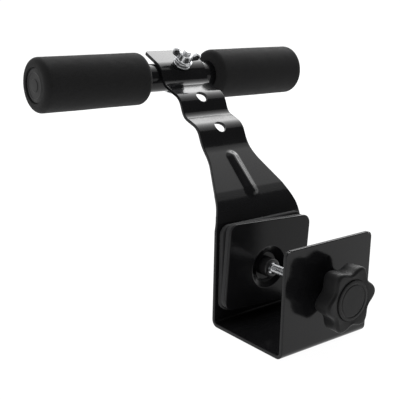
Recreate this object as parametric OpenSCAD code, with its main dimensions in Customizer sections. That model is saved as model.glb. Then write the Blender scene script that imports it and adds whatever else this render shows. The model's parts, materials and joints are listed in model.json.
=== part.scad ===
// Clamp-on sit-up bar: a bent steel bracket grips the edge of a board with a hand screw, and carries a
// foam-covered crossbar on a stepped arm. Millimetres, +Z up, +Y from the knob towards the crossbar, X along
// the crossbar. The origin is the middle of the bracket's inner base, where the board's edge sits.

/* [Clamp bracket] */
// Width of the two jaws
jaw_w = 94; // [90:1:110]
// Height of the front jaw above the board seat
front_jaw_h = 83; // [78:1:95]
// Height of the corner at the top of the back jaw
back_jaw_h = 89.25; // [88:0.25:98]
// Space between the inner faces of the jaws
mouth = 76; // [76:1:100]
// Thickness of the bent steel plate
steel_t = 3; // [2.5:0.5:3.5]
// Inner radius of the two bends of the clamp
clamp_bend_r = 3; // [2:0.5:4]
// Inner radius of the sweep from the back jaw into the arm
root_bend_r = 35; // [20:1:36]
// Radius of the front jaw's top corners
jaw_corner_r = 5; // [2:0.5:10]

/* [Arm] */
// Slope of the lower arm
low_arm_slope = 49; // [47:0.5:56]
// Length of the lower arm
low_arm_len = 21.5; // [20:0.5:30]
// Slope of the upper arm
top_arm_slope = 43.5; // [40:0.5:46]
// Length of the upper arm
top_arm_len = 45; // [42:1:50]
// Width of the arm where it leaves the back jaw
arm_root_w = 88; // [80:1:89]
// Width of the arm at its knee
knee_w = 74.5; // [66:0.5:78]

/* [Steps and holes] */
// Width of the stepped strip
step_w = 49.5; // [44:0.5:54]
// Length of the lower tread
tread_len = 20.5; // [19:0.5:24]
// Length of the upper tread
top_tread_len = 23.5; // [20:0.5:25]
// Length of each riser
riser_len = 17.2; // [16.6:0.2:21]
// Slope of the treads
tread_slope = 20; // [18:1:28]
// Slope of the risers
riser_slope = 66; // [60:1:68]
// Slope of the top flange
flange_slope = 24.5; // [18:0.5:28]
// Length of the top flange
flange_len = 26; // [22:1:30]
// Inner radius of the bend where the arm meets the steps
arm_end_bend_r = 34; // [16:1:36]
// Inner radius of the hollows between the steps
valley_bend_r = 10; // [6:0.5:11]
// Diameter of the three crossbar holes
hole_d = 11; // [9:0.5:12]

/* [Crossbar] */
// Length over the two foam sleeves
bar_len = 282; // [260:1:340]
// Outer diameter of the steel tube
tube_d = 25; // [22:0.5:28]
// Wall of the steel tube
tube_wall = 1.5; // [1:0.1:2]
// Outer diameter of the foam sleeves
foam_d = 45.8; // [40:0.2:60]
// Gap between the foam sleeves
foam_gap = 76; // [60:1:90]
// Radius of the foam's outer edges
foam_edge_r = 5.5; // [2:0.5:7]
// Diameter of the end cap's flange
cap_d = 29; // [29:0.5:32]

/* [Clamp screw] */
// Diameter of the clamp screw and of the crossbar bolt
thread_d = 8; // [8:1:8]
// Height of the clamp screw above the board seat
screw_z = 43; // [42:1:46]
// Width of the pressure plate
plate_w = 89; // [80:1:90]
// Height of the pressure plate
plate_h = 72; // [68:1:73]
// Thickness of the pressure plate
plate_t = 2.5; // [2:0.25:2.5]
// Angle that the pressure plate has turned on the screw
plate_roll = 3.3; // [0:0.1:4]
// Diameter of the dish in the pressure plate
dish_d = 36; // [34:1:38]

/* [Knob] */
// Diameter over the lobes
knob_d = 53; // [48:1:60]
// Number of lobes
knob_lobes = 6; // [5:1:8]
// Depth of the lobed part
knob_depth = 15; // [14:1:20]
// Diameter of the round cover
cover_d = 32; // [28:1:34]

/* [Wing nut] */
// Span over the two wings
wing_span = 27; // [26:1:34]
// Angle of the wings around the bolt
wing_angle = -23; // [-90:1:90]

/* [Hidden] */
$fn = 96;

// Running clearance of a shaft in its bore, and a cut's overlap past a face
run = 0.05;
eps = 1;
// Segments in each bend of the bracket
bend_steps = 8;

// Directions and filleted paths in the YZ side view
function unit(a) = [cos(a), sin(a)];
function left_of(d) = [-d[1], d[0]];
function turned(d, a) = [d[0] * cos(a) - d[1] * sin(a), d[0] * sin(a) + d[1] * cos(a)];
function heading(path, i) = (path[i + 1] - path[i]) / norm(path[i + 1] - path[i]);
function bend(path, i) =
    let (a = heading(path, i - 1), b = heading(path, i))
    atan2(a[0] * b[1] - a[1] * b[0], a[0] * b[0] + a[1] * b[1]);
// Points of the arc that rounds corner i of a path
function corner_arc(path, i, r) =
    let (a = bend(path, i), d = heading(path, i - 1), side = sign(a) * left_of(d),
         centre = path[i] - d * r * tan(abs(a) / 2) + side * r)
    [for (k = [0:bend_steps]) centre + turned(-side * r, a * k / bend_steps)];
function filleted(path, radii) =
    [path[0],
     for (i = [1:len(path) - 2]) each (radii[i] > 0 ? corner_arc(path, i, radii[i]) : [path[i]]),
     path[len(path) - 1]];
// The path moved sideways by t, away from its left side
function offset_corner(path, i, t) =
    let (a = left_of(heading(path, i - 1)), b = left_of(heading(path, i)))
    path[i] - t * (a + b) / (1 + a * b);
function moved(path, t) =
    let (last = len(path) - 1)
    [path[0] - t * left_of(heading(path, 0)),
     for (i = [1:last - 1]) offset_corner(path, i, t),
     path[last] - t * left_of(heading(path, last - 1))];
function reversed(list) = [for (i = [len(list) - 1:-1:0]) list[i]];

// Corners of the bracket's inner and upper surface, from the front jaw to the top flange
seat_front = [-mouth / 2, 0];
seat_back = [mouth / 2, 0];
arm_root = [mouth / 2, back_jaw_h];
arm_knee = arm_root + low_arm_len * unit(low_arm_slope);
arm_end = arm_knee + top_arm_len * unit(top_arm_slope);
riser = riser_len * unit(riser_slope);
tread = tread_len * unit(tread_slope);
low_crest = arm_end + riser;
mid_crest = low_crest + tread + riser;
top_crest = mid_crest + top_tread_len * unit(tread_slope) + riser;
flange_end = top_crest + flange_len * unit(flange_slope);
surface = [[-mouth / 2, front_jaw_h], seat_front, seat_back, arm_root, arm_knee, arm_end, low_crest,
           low_crest + tread, mid_crest, top_crest - riser, top_crest, flange_end];
// Inner radii of the bends. Each crest is curved to hold the tube
knee_bend_r = 13;
crest_bend_r = tube_d / 2 + 0.1;
inner_r = [0, clamp_bend_r, clamp_bend_r, root_bend_r, knee_bend_r, arm_end_bend_r, crest_bend_r,
           valley_bend_r, crest_bend_r, valley_bend_r, crest_bend_r, 0];
bends = [for (i = [0:len(surface) - 1]) i > 0 && i < len(surface) - 1 ? bend(surface, i) : 0];
upper_r = [for (i = [0:len(surface) - 1]) inner_r[i] + (bends[i] < 0 ? steel_t : 0)];
under_r = [for (i = [0:len(surface) - 1]) inner_r[i] + (bends[i] > 0 ? steel_t : 0)];

// Half of the arm's width, seen from the front, from the foot of the back jaw up
shoulder_z = 78;
shoulder_r = 12;
neck_r = 24;
taper_stop = 8.5;
arm_side = [[jaw_w / 2, -steel_t - eps], [jaw_w / 2, shoulder_z], [arm_root_w / 2, back_jaw_h],
            [knee_w / 2, arm_knee[1]], [step_w / 2, arm_end[1] - taper_stop],
            [step_w / 2, flange_end[1] + eps]];
arm_side_r = [0, shoulder_r, 0, 0, neck_r, 0];
front_side = [[jaw_w / 2, -steel_t - eps], [jaw_w / 2, front_jaw_h], [-jaw_w / 2, front_jaw_h],
              [-jaw_w / 2, -steel_t - eps]];
front_side_r = [0, jaw_corner_r, jaw_corner_r, 0];

// Pressed bead on the upper arm: half widths and heights at the knee and near the steps
bead_low_half_w = 7.5;
bead_low_h = 3.2;
bead_top_half_w = 6.5;
bead_top_h = 2.6;
bead_low_s = -3;
bead_top_s = 32;
bead_root = 2.5;
function cap_radius(half_w, h) = (half_w * half_w + h * h) / (2 * h);
bead_low_r = cap_radius(bead_low_half_w, bead_low_h);
bead_top_r = cap_radius(bead_top_half_w, bead_top_h);

// Clamp stack along Y: pads, plate, cup and screw
jaw_front_y = -mouth / 2 - steel_t;
jaw_pad_t = 4.8;
plate_pad_t = 4.8;
pad_gap = 0.4;
plate_back_y = mouth / 2 - jaw_pad_t - pad_gap - plate_pad_t;
plate_front_y = plate_back_y - plate_t;
plate_rise = 4.4;
plate_low_z = screw_z + plate_rise - plate_h / 2;
plate_top_z = screw_z + plate_rise + plate_h / 2;
pad_inset = 0.5;
pad_corner_r = 8;
plate_corner_r = 8;
jaw_pad_w = 88;
jaw_pad_low_z = 11;
jaw_pad_top_z = 83;
dish_depth = 4;
dish_floor_d = 23;
dish_back_d = dish_d + 2;
dish_back_floor_d = dish_floor_d + 4;
dish_floor_y = plate_front_y + dish_depth;
pad_hole_d = 41;
cup_d = 16;
cup_front_y = dish_floor_y - 9;
cup_floor_y = dish_floor_y - 1.5;
cup_bore_r = 4.6;
ring_t = 1.1;
ring_r = 6;
ring_y = cup_front_y + 1.2;
neck_screw_r = 3;
neck_start_y = cup_front_y - 0.6;
button_y = ring_y + ring_t + 0.1;
thread_r = thread_d / 2 - run;
jaw_hole_d = thread_d + 1;
nut_af = 13;
nut_t = 6.5;
hex = 1 / cos(30);

// Knob along Y, measured out from the front jaw
knob_back_y = jaw_front_y - 10;
knob_front_y = knob_back_y - knob_depth;
hub_back_y = jaw_front_y - 2.5;
hub_r = 10;
knob_wave = 2.6;
knob_phase = 5.5;
cover_t = 3;
cover_proud = 0.6;
head_t = 5.5;
head_back_y = knob_front_y + cover_t + head_t;
knob_points = 120;
knob_outline = [for (k = [0:knob_points - 1])
    let (a = 360 * k / knob_points)
    (knob_d / 2 - knob_wave + knob_wave * cos(knob_lobes * (a - knob_phase))) * unit(a)];

// Crossbar: the tube lies in the hollow side of the top crest, just clear of it
tube_r = tube_d / 2;
crest_tilt = (flange_slope + riser_slope) / 2;
step_tilt = (tread_slope + riser_slope) / 2;
crest_half = (riser_slope - flange_slope) / 2;
crest_top = crest_bend_r + steel_t;
tube_drop = crest_top / cos(crest_half);
bolt_tilt = 39;
tube_yz = top_crest - tube_drop * left_of(unit(crest_tilt));
bolt_hole_r = 4.3;
bolt_r = thread_d / 2 - run;
bolt_head_r = 9;
bolt_head_h = 4.2;
square_neck = 8;
neck_len = 3.4;
neck_hole = square_neck + 0.2;
foam_bore_r = tube_r - 0.1;
cap_flange_t = 2.6;
cap_recess = 0.4;
cap_gap = 0.2;
plug_len = 14;
plug_wall = 2;
tube_len = bar_len - 2 * (cap_flange_t + cap_recess);

// Wing nut stack above the crest, along the bolt
washer_d = 16;
washer_t = 1.6;
spring_d = 14;
spring_t = 2;
slit_w = 0.8;
slit_lean = 30;
washer_bore_r = bolt_r + 0.1;
washer_base = crest_top + run;
spring_base = washer_base + washer_t + run;
nut_base = spring_base + spring_t + run;
nut_flange_d = 17;
nut_flange_t = 1.5;
wing_foot_r = 6.6;
wing_hub_r = 5.8;
wing_hub_h = 9;
wing_t = 2.4;
wing_lobe_r = 4;
wing_lobe_h = 8.4;
wing_root_x = wing_hub_r - 2;
wing_root_low = 1.2;
wing_root_top = wing_hub_h - 1.4;
wing_foot = [wing_foot_r - 0.6, 2];
bolt_proud = 3;
bolt_end = nut_base + wing_hub_h + bolt_proud;

// Places a shape with its Z axis along +Y
module along_y(y) {
    translate([0, y, 0]) rotate([-90, 0, 0]) children();
}

// Places a shape at the screw's axis with its Z axis along +Y
module on_screw(y) {
    translate([0, 0, screw_z]) along_y(y) children();
}

// Places a side view drawing, x to +Y and y to +Z, and gives it a width along X
module across(width) {
    rotate([90, 0, 90]) translate([0, 0, -width / 2]) linear_extrude(width) children();
}

// Places a shape at a point of the side view, with its Z axis tilted forward from vertical
module tilted(yz, tilt) {
    translate([0, yz[0], yz[1]]) rotate([tilt, 0, 0]) children();
}

// Places a shape on the bolt, with z measured from the tube's centre
module on_bolt() {
    tilted(tube_yz, bolt_tilt) children();
}

// Prism of a front view drawing, from y0 back to y1
module front_prism(points, y0, y1) {
    translate([0, y1, 0]) rotate([90, 0, 0]) linear_extrude(y1 - y0) polygon(points);
}

// Flat slab in the XZ plane with four rounded corners, from y back by t
module slab(w, z0, z1, r, y, t) {
    corners = [[w / 2, z0], [w / 2, z1], [-w / 2, z1], [-w / 2, z0], [w / 2, z0]];
    ring = [for (i = [1:3]) each corner_arc(corners, i, r)];
    first = corner_arc([corners[3], corners[0], corners[1]], 1, r);
    front_prism(concat(first, ring), y, y + t);
}

module hexagon_bar(af, h) {
    cylinder(r = af / 2 * hex, h = h, $fn = 6);
}

// Profile of the bent plate, drawn in the side view
module ribbon() {
    polygon(concat(filleted(surface, upper_r), reversed(filleted(moved(surface, steel_t), under_r))));
}

// Front views that limit the bracket's width: the front jaw, and the back jaw with its arm
module width_limits() {
    side = filleted(arm_side, arm_side_r);
    mirrored = [for (p = reversed(side)) [-p[0], p[1]]];
    front_prism(filleted(front_side, front_side_r), jaw_front_y - eps, 0);
    front_prism(concat(side, mirrored), 0, flange_end[0] + 2 * steel_t);
}

// Tapered rounded bead, thinned by a wall, in the upper arm's own frame (x along the arm)
module bead_spine(wall) {
    hull() {
        translate([bead_low_s, 0, bead_low_h - bead_low_r]) sphere(bead_low_r - wall, $fn = 32);
        translate([bead_top_s, 0, bead_top_h - bead_top_r]) sphere(bead_top_r - wall, $fn = 32);
    }
}

module on_upper_arm() {
    translate([0, arm_knee[0], arm_knee[1]]) rotate([top_arm_slope, 0, 0]) rotate([0, 0, 90]) children();
}

module bracket() {
    color([0.05, 0.05, 0.055]) difference() {
        union() {
            intersection() {
                across(jaw_w + 2 * eps) ribbon();
                width_limits();
            }
            on_upper_arm() intersection() {
                bead_spine(0);
                translate([-top_arm_len, -jaw_w / 2, -bead_root]) cube([2 * top_arm_len, jaw_w, jaw_w]);
            }
        }
        on_upper_arm() bead_spine(steel_t);
        on_screw(jaw_front_y - eps) cylinder(d = jaw_hole_d, h = steel_t + 2 * eps);
        on_bolt() cylinder(d = hole_d, h = 2 * tube_d);
        for (crest = [mid_crest, low_crest])
            tilted(crest, step_tilt) translate([0, 0, -hole_d]) cylinder(d = hole_d, h = 2 * hole_d);
    }
}

module clamp_nut() {
    color([0.07, 0.07, 0.075]) on_screw(-mouth / 2) difference() {
        hexagon_bar(nut_af, nut_t);
        translate([0, 0, -eps]) cylinder(d = thread_d, h = nut_t + 2 * eps);
    }
}

module jaw_pad() {
    color([0.16, 0.16, 0.16])
        slab(jaw_pad_w, jaw_pad_low_z, jaw_pad_top_z, pad_corner_r, mouth / 2 - jaw_pad_t, jaw_pad_t);
}

module clamp_screw() {
    color([0.72, 0.73, 0.75]) {
        on_screw(head_back_y - head_t) hexagon_bar(nut_af, head_t);
        on_screw(head_back_y) cylinder(r = thread_r, h = neck_start_y - head_back_y);
        on_screw(neck_start_y) cylinder(r = neck_screw_r, h = button_y - neck_start_y);
        on_screw(button_y) cylinder(r = cup_bore_r - 2 * run, h = cup_floor_y - run - button_y);
    }
}

module star_knob() {
    color([0.09, 0.09, 0.095]) difference() {
        union() {
            translate([0, knob_back_y, screw_z]) rotate([90, 0, 0])
                linear_extrude(knob_depth) polygon(knob_outline);
            on_screw(knob_back_y - eps) cylinder(r = hub_r, h = hub_back_y - knob_back_y + eps);
        }
        on_screw(knob_front_y - eps) cylinder(d = cover_d, h = cover_t + eps);
        on_screw(head_back_y - head_t - eps) hexagon_bar(nut_af + 2 * run, head_t + eps);
        on_screw(knob_front_y) cylinder(d = thread_d, h = knob_depth + hub_r);
    }
}

module knob_cover() {
    color([0.12, 0.12, 0.12]) on_screw(knob_front_y - cover_proud)
        cylinder(d = cover_d - 2 * run, h = cover_t + cover_proud);
}

// Turns a piece of the pressure plate about the screw
module rolled() {
    translate([0, 0, screw_z]) rotate([0, plate_roll, 0]) translate([0, 0, -screw_z]) children();
}

module clamp_plate() {
    color([0.04, 0.04, 0.045]) rolled() difference() {
        union() {
            slab(plate_w, plate_low_z, plate_top_z, plate_corner_r, plate_front_y, plate_t);
            on_screw(plate_front_y + plate_t)
                cylinder(d1 = dish_back_d, d2 = dish_back_floor_d, h = dish_depth);
        }
        on_screw(plate_front_y - eps) cylinder(d = dish_d, h = eps);
        on_screw(plate_front_y) cylinder(d1 = dish_d, d2 = dish_floor_d, h = dish_depth);
    }
}

module plate_pad() {
    color([0.18, 0.18, 0.18]) rolled() difference() {
        slab(plate_w - 2 * pad_inset, plate_low_z + pad_inset, plate_top_z - pad_inset, plate_corner_r,
             plate_back_y, plate_pad_t);
        on_screw(plate_back_y - eps) cylinder(d = pad_hole_d, h = plate_pad_t + 2 * eps);
    }
}

module swivel_cup() {
    color([0.06, 0.06, 0.065]) difference() {
        on_screw(cup_front_y) cylinder(d = cup_d, h = dish_floor_y - cup_front_y);
        on_screw(cup_front_y - eps) cylinder(r = cup_bore_r, h = cup_floor_y - cup_front_y + eps);
        on_screw(ring_y - run) cylinder(r = ring_r + run, h = ring_t + 2 * run);
    }
}

module swivel_ring() {
    color([0.6, 0.6, 0.62]) on_screw(ring_y) difference() {
        cylinder(r = ring_r, h = ring_t);
        translate([0, 0, -eps]) cylinder(r = neck_screw_r + run, h = ring_t + 2 * eps);
    }
}

module crossbar_tube() {
    color([0.06, 0.06, 0.065]) difference() {
        translate([-tube_len / 2, tube_yz[0], tube_yz[1]]) rotate([0, 90, 0]) difference() {
            cylinder(d = tube_d, h = tube_len);
            translate([0, 0, -eps]) cylinder(r = tube_r - tube_wall, h = tube_len + 2 * eps);
        }
        on_bolt() cylinder(r = bolt_hole_r, h = tube_d);
        on_bolt() translate([0, 0, -tube_r]) cube([neck_hole, neck_hole, tube_d], center = true);
    }
}

// One foam sleeve; side is 1 on the right and -1 on the left
module foam_sleeve(side) {
    len = (bar_len - foam_gap) / 2;
    r = foam_edge_r;
    recess = cap_flange_t + cap_recess;
    seat_r = cap_d / 2 + cap_gap;
    rim = foam_d / 2 - r;
    arc = [for (k = [0:bend_steps]) 90 * k / bend_steps];
    half = [[foam_bore_r, 0],
            for (a = arc) [rim + r * sin(a), r - r * cos(a)],
            for (a = arc) [rim + r * cos(a), len - r + r * sin(a)],
            [seat_r, len], [seat_r, len - recess], [foam_bore_r, len - recess]];
    color([0.07, 0.07, 0.07]) translate([side * foam_gap / 2, tube_yz[0], tube_yz[1]])
        rotate([0, side * 90, 0]) rotate_extrude() polygon(half);
}

module left_foam() {
    foam_sleeve(-1);
}

module right_foam() {
    foam_sleeve(1);
}

// One end cap: a flange in the end of the foam and a hollow plug in the tube
module end_cap(side) {
    color([0.15, 0.15, 0.16]) translate([side * tube_len / 2, tube_yz[0], tube_yz[1]]) rotate([0, side * 90, 0]) {
        cylinder(d = cap_d, h = cap_flange_t);
        translate([0, 0, -plug_len]) difference() {
            cylinder(r = tube_r - tube_wall - run, h = plug_len);
            translate([0, 0, -eps]) cylinder(r = tube_r - tube_wall - plug_wall, h = plug_len);
        }
    }
}

module left_end_cap() {
    end_cap(-1);
}

module right_end_cap() {
    end_cap(1);
}

module bar_bolt() {
    dome_r = cap_radius(bolt_head_r, bolt_head_h);
    color([0.75, 0.76, 0.78]) on_bolt() {
        intersection() {
            translate([0, 0, -tube_r - bolt_head_h + dome_r]) sphere(dome_r);
            translate([0, 0, -tube_r - bolt_head_h - eps]) cylinder(r = bolt_head_r, h = bolt_head_h + eps);
        }
        translate([-square_neck / 2, -square_neck / 2, -tube_r]) cube([square_neck, square_neck, neck_len]);
        translate([0, 0, -tube_r]) cylinder(r = bolt_r, h = tube_r + bolt_end);
    }
}

module bar_washer() {
    color([0.78, 0.79, 0.8]) on_bolt() translate([0, 0, washer_base]) difference() {
        cylinder(d = washer_d, h = washer_t);
        translate([0, 0, -eps]) cylinder(r = washer_bore_r, h = washer_t + 2 * eps);
    }
}

// Spring washer, with the slit that a real one has
module spring_washer() {
    color([0.7, 0.71, 0.72]) on_bolt() translate([0, 0, spring_base]) difference() {
        cylinder(d = spring_d, h = spring_t);
        translate([0, 0, -eps]) cylinder(r = washer_bore_r, h = spring_t + 2 * eps);
        rotate([0, slit_lean, 90]) translate([0, -slit_w / 2, -spring_t]) cube([spring_d, slit_w, 3 * spring_t]);
    }
}

// One wing, drawn flat: a round lobe and the web that joins it to the hub
module wing_profile() {
    lobe_x = wing_span / 2 - wing_lobe_r;
    translate([lobe_x, wing_lobe_h]) circle(wing_lobe_r);
    outer = [lobe_x, wing_lobe_h] + wing_lobe_r * unit(-36.87);
    upper = [lobe_x, wing_lobe_h] + wing_lobe_r * unit(126.87);
    polygon([[wing_root_x, wing_root_low], wing_foot, outer, upper, [wing_root_x, wing_root_top]]);
}

module wing_nut() {
    color([0.8, 0.81, 0.82]) on_bolt() translate([0, 0, nut_base]) difference() {
        union() {
            cylinder(d = nut_flange_d, h = nut_flange_t);
            cylinder(r1 = wing_foot_r, r2 = wing_hub_r, h = wing_hub_h);
            for (side = [0, 180])
                rotate([0, 0, wing_angle + side]) rotate([90, 0, 0])
                    translate([0, 0, -wing_t / 2]) linear_extrude(wing_t) wing_profile();
        }
        translate([0, 0, -eps]) cylinder(d = thread_d, h = 2 * wing_hub_h);
    }
}

bracket();
clamp_nut();
jaw_pad();
clamp_screw();
star_knob();
knob_cover();
clamp_plate();
plate_pad();
swivel_cup();
swivel_ring();
crossbar_tube();
left_foam();
right_foam();
left_end_cap();
right_end_cap();
bar_bolt();
bar_washer();
spring_washer();
wing_nut();
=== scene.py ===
import json
import math

import bmesh
import bpy
from mathutils import Matrix, Vector, noise


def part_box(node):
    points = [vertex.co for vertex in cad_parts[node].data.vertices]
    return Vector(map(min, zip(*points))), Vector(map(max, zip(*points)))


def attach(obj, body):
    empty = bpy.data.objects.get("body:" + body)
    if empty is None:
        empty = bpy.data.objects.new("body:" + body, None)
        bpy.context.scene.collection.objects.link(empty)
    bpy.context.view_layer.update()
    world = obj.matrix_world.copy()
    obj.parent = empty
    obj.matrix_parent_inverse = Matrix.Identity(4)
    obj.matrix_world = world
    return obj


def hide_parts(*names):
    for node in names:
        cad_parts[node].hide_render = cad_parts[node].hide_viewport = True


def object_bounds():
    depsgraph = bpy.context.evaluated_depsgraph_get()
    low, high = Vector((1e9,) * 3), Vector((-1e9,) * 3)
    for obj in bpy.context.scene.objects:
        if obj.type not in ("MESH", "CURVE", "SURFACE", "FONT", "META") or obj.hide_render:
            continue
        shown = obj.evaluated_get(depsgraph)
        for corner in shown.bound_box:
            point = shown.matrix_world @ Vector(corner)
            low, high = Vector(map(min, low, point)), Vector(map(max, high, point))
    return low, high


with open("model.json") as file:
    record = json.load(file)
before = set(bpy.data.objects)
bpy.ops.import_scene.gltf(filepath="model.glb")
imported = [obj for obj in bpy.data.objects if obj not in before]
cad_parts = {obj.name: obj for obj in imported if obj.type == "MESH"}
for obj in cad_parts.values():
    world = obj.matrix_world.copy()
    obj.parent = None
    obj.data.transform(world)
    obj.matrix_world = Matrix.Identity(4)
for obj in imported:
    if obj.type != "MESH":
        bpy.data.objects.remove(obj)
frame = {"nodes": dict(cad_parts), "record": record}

MM = 0.001
CAD_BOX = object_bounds()
record = frame["record"]
joints = {j["name"]: j for j in record["behaviour"]["joints"]}


# ---------------------------------------------------------------- places, read from the frame

def low(node):
    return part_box(node)[0] / MM


def high(node):
    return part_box(node)[1] / MM


def middle(node):
    return (low(node) + high(node)) / 2


UP = Vector((0, 0, 1))
RIGHT = Vector((1, 0, 0))
BACK = Vector((0, 1, 0))
SCREW = Vector(joints["screw_turn"]["pos_m"]) / MM
BOLT_AXIS = Vector(joints["wing_nut_turn"]["axis"])
TUBE = middle("crossbar_tube")
STEEL = -low("bracket").z
MOUTH_FRONT = low("bracket").y + STEEL
MOUTH_BACK = -MOUTH_FRONT
JAW_HALF = high("bracket").x


# ---------------------------------------------------------------- outlines

def polar(radius, degrees):
    return Vector((radius * math.cos(math.radians(degrees)), radius * math.sin(math.radians(degrees))))


def fillet(points, radii, steps=6, closed=True):
    """The outline with each corner rounded to its radius."""
    count = len(points)
    out = []
    for i, radius in enumerate(radii):
        p = Vector(points[i])
        if radius <= 0 or (not closed and i in (0, count - 1)):
            out.append(p)
            continue
        a = (Vector(points[i - 1]) - p).normalized()
        b = (Vector(points[(i + 1) % count]) - p).normalized()
        half = a.angle(b) / 2
        centre = p + (a + b).normalized() * (radius / math.sin(half))
        start = p + a * (radius / math.tan(half)) - centre
        end = p + b * (radius / math.tan(half)) - centre
        first = math.atan2(start.y, start.x)
        sweep = (math.atan2(end.y, end.x) - first + math.pi) % (2 * math.pi) - math.pi
        for k in range(steps + 1):
            angle = first + sweep * k / steps
            out.append(centre + Vector((math.cos(angle), math.sin(angle))) * radius)
    return out


def rounded_rectangle(width, height, radius, steps=10, side=10):
    """An outline with extra points along its straight sides."""
    x, y = width / 2, height / 2
    corners = [(-x, -y), (x, -y), (x, y), (-x, y)]
    ring = fillet(corners, [radius] * 4, steps)
    out = []
    for i, p in enumerate(ring):
        nxt = ring[(i + 1) % len(ring)]
        out.append(p)
        if (nxt - p).length > 3 * radius:
            out += [p.lerp(nxt, k / side) for k in range(1, side)]
    return out


# ---------------------------------------------------------------- meshes

def frame_matrix(origin, z_axis, x_axis):
    """The place whose Z axis is z_axis and whose X axis is nearest to x_axis, in millimetres."""
    z = Vector(z_axis).normalized()
    x = (Vector(x_axis) - z * z.dot(Vector(x_axis))).normalized()
    y = z.cross(x)
    basis = Matrix((x, y, z)).transposed().to_4x4()
    return Matrix.Translation(Vector(origin)) @ basis


def skin(bm, rings, close=True, cap_start=False, cap_end=False):
    """Quads between rings of points. A ring of one point is a pole."""
    made = [[bm.verts.new(p) for p in ring] for ring in rings]
    pairs = list(zip(made, made[1:]))
    if close:
        pairs.append((made[-1], made[0]))
    for a, b in pairs:
        count = max(len(a), len(b))
        for i in range(count):
            j = (i + 1) % count
            quad = []
            for vert in (a[i % len(a)], a[j % len(a)], b[j % len(b)], b[i % len(b)]):
                if vert not in quad:
                    quad.append(vert)
            if len(quad) > 2:
                bm.faces.new(quad)
    if cap_start:
        bm.faces.new(made[0])
    if cap_end:
        bm.faces.new(made[-1])
    return made


def lathe(bm, profile, segments=96, close=True):
    """A solid of revolution about Z from (radius, z) points."""
    rings = []
    turn = 2 * math.pi / segments
    for r, z in profile:
        if r < 1e-6:
            rings.append([Vector((0, 0, z))])
        else:
            around = [k * turn for k in range(segments)]
            rings.append([Vector((r * math.cos(angle), r * math.sin(angle), z)) for angle in around])
    return skin(bm, rings, close=close)


CHAMFERED_FACE = 0.95
BORE_CHAMFER = 0.6


def hexagon(bm, across, z0, z1, chamfer, bore=0, segments=144):
    """A hexagon bar whose ends are turned to a cone, as on a nut or a bolt head."""
    corner = across / 2 / math.cos(math.pi / 6)
    steps = 5

    def ring(limit, z):
        points = []
        for k in range(segments):
            angle = 2 * math.pi * k / segments
            flat = across / 2 / math.cos((angle + math.pi / 6) % (math.pi / 3) - math.pi / 6)
            points.append(Vector((*polar(min(flat, limit), math.degrees(angle)), z)))
        return points

    def circle(radius, z):
        return [Vector((*polar(radius, 360 * k / segments), z)) for k in range(segments)]

    face = across / 2 * CHAMFERED_FACE
    rings = []
    for k in range(steps + 1):
        part = k / steps
        rings.append(ring(face + (corner - face) * part, z0 + chamfer * part))
    for k in range(steps + 1):
        part = 1 - k / steps
        rings.append(ring(face + (corner - face) * part, z1 - chamfer * part))
    if bore:
        rings.append(circle(bore + BORE_CHAMFER, z1))
        rings.append(circle(bore, z1 - BORE_CHAMFER))
        rings.append(circle(bore, z0 + BORE_CHAMFER))
        rings.append(circle(bore + BORE_CHAMFER, z0))
        skin(bm, rings)
    else:
        skin(bm, rings, close=False, cap_start=True, cap_end=True)


def thread(bm, outer, pitch, depth, z0, z1, segments=48, rows=8):
    """A helical screw thread about Z, run out at both ends."""
    count = round((z1 - z0) / pitch * rows)
    rings = []
    for i in range(count + 1):
        z = z0 + (z1 - z0) * i / count
        fade = min(1, (z - z0) / pitch + 0.15, (z1 - z) / pitch + 0.15)
        ring = []
        for k in range(segments):
            phase = (z / pitch - k / segments) % 1
            tooth = min(1, max(0, 1.25 - 2.5 * abs(phase - 0.5)))
            radius = outer - depth + depth * tooth * fade
            ring.append(Vector((*polar(radius, 360 * k / segments), z)))
        rings.append(ring)
    skin(bm, rings, close=False, cap_start=True, cap_end=True)


def plate_rings(outline, stations, centre=(0, 0)):
    """Rings that pass from an outline to circles about a centre, one for each station.

    (inset, None, z) is the outline moved in, (None, radius, z) is a circle, and (part, radius, z) lies
    between them, part of the way from the circle to the outline."""
    centre = Vector(centre)
    count = len(outline)
    normals = []
    for i in range(count):
        along = (outline[(i + 1) % count] - outline[i - 1]).normalized()
        normals.append(Vector((along.y, -along.x)))
    rings = []
    for amount, radius, z in stations:
        ring = []
        for p, normal in zip(outline, normals):
            if radius is None:
                q = p - normal * amount
            else:
                q = centre + (p - centre).normalized() * radius
                if amount is not None:
                    q = q.lerp(p, amount)
            ring.append(Vector((q.x, q.y, z)))
        rings.append(ring)
    return rings


def weight_normals(obj):
    modifier = obj.modifiers.new("weighted", "WEIGHTED_NORMAL")
    modifier.keep_sharp = True
    modifier.weight = 100


def piece(bm, name, node, body, material, place=None, sharp=40, weighted=False):
    """Finishes a mesh in millimetres as a piece that stands for a CAD node and rides on its body."""
    if place is not None:
        bm.transform(place)
    bm.transform(Matrix.Scale(MM, 4))
    bmesh.ops.recalc_face_normals(bm, faces=bm.faces)
    for face in bm.faces:
        face.smooth = True
    for edge in bm.edges:
        if len(edge.link_faces) == 2 and edge.calc_face_angle() > math.radians(sharp):
            edge.smooth = False
    mesh = bpy.data.meshes.new(name)
    bm.to_mesh(mesh)
    bm.free()
    obj = bpy.data.objects.new(name, mesh)
    bpy.context.scene.collection.objects.link(obj)
    mesh.materials.append(material)
    if weighted:
        weight_normals(obj)
    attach(obj, body)
    if node:
        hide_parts(node)
    return obj


def modified(obj, *modifiers):
    """Applies modifiers, each (kind, settings), and keeps the result as the object's own mesh."""
    for kind, settings in modifiers:
        modifier = obj.modifiers.new(kind, kind)
        for key, value in settings.items():
            setattr(modifier, key, value)
    graph = bpy.context.evaluated_depsgraph_get()
    mesh = bpy.data.meshes.new_from_object(obj.evaluated_get(graph))
    obj.modifiers.clear()
    obj.data = mesh
    return obj


# ---------------------------------------------------------------- materials

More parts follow.
